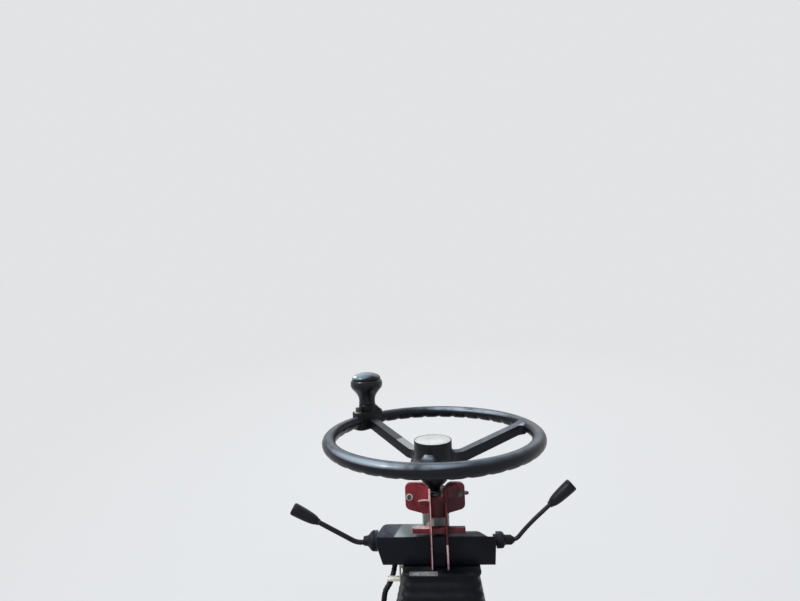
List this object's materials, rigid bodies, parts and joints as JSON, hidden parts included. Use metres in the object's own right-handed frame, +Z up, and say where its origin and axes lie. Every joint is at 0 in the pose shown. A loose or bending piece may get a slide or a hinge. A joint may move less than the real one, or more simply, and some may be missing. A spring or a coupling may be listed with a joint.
{
  "type": "steering column",
  "caption": "Tilting floor-mounted steering column of a work machine: wheel with spinner knob, red sheet bracket, switch housing with two levers, rubber gaiter and console.",
  "frame": {"origin": "centre of the floor plate's underside, at the middle of the four floor bolts", "axes": "+Z up from the floor, +Y forward, away from the operator, +X to the operator's right"},
  "size_m": [0.47, 0.4345, 0.801],
  "materials": {
    "rim_rubber": "satin",
    "black_plastic": "satin",
    "cap_grey": "satin",
    "red_paint": "satin",
    "grey_paint": "satin",
    "zinc": "satin",
    "gaiter_rubber": "matt",
    "console_paint": "satin",
    "cast_iron": "matt"
  },
  "bodies": {
    "base": {"floor_plate": "console_paint", "console_left": "console_paint", "console_right": "console_paint", "console_front": "console_paint", "console_rear": "console_paint", "console_top": "console_paint", "service_cover": "console_paint", "valve_shelf": "grey_paint", "pivot_ears": "grey_paint", "pivot_pin": "zinc", "steering_valve": "cast_iron", "valve_gearset": "cast_iron", "hose_elbows": "zinc", "gaiter": "gaiter_rubber", "gaiter_strips": "black_plastic", "conduit": "gaiter_rubber", "conduit_gland": "black_plastic"},
    "column": {"column_jacket": "grey_paint", "column_foot": "grey_paint", "bracket_wings": "red_paint", "bracket_channel": "red_paint", "bracket_crossbar": "red_paint", "bracket_bolts": "zinc", "housing_left": "black_plastic", "housing_right": "black_plastic", "housing_centre": "black_plastic", "gaiter_collar": "black_plastic", "boot_left": "gaiter_rubber", "boot_right": "gaiter_rubber"},
    "wheel": {"wheel_rim": "rim_rubber", "wheel_spokes": "rim_rubber", "wheel_hub": "black_plastic", "hub_cap": "cap_grey", "steering_shaft": "black_plastic", "knob_clamp": "black_plastic", "clamp_bolts": "zinc", "knob_stem": "zinc"},
    "knob": {"knob_body": "black_plastic", "knob_cap": "black_plastic"},
    "left_lever": {"lever_left": "black_plastic", "grip_left": "black_plastic"},
    "right_lever": {"lever_right": "black_plastic", "grip_right": "black_plastic"}
  },
  "joints": [
    {"name": "column_tilt", "type": "hinge", "parent": "base", "child": "column", "pos_m": [0, 0, 0.3], "axis": [1, 0, 0], "range_deg": [0, 28], "deforming": ["gaiter", "conduit"]},
    {"name": "wheel_turn", "type": "hinge", "parent": "column", "child": "wheel", "pos_m": [0, 0.10959, 0.73954], "axis": [0, 0.2419, 0.9703], "continuous": true},
    {"name": "knob_spin", "type": "hinge", "parent": "wheel", "child": "knob", "pos_m": [-0.12279, 0.22226, 0.71145], "axis": [0, 0.2419, 0.9703], "continuous": true},
    {"name": "left_lever_swing", "type": "hinge", "parent": "column", "child": "left_lever", "pos_m": [-0.1073, 0.06798, 0.57265], "axis": [0, 0.2419, 0.9703], "range_deg": [-12, 12], "deforming": ["boot_left"]},
    {"name": "right_lever_swing", "type": "hinge", "parent": "column", "child": "right_lever", "pos_m": [0.1073, 0.06798, 0.57265], "axis": [0, 0.2419, 0.9703], "range_deg": [-12, 12], "deforming": ["boot_right"]}
  ]
}
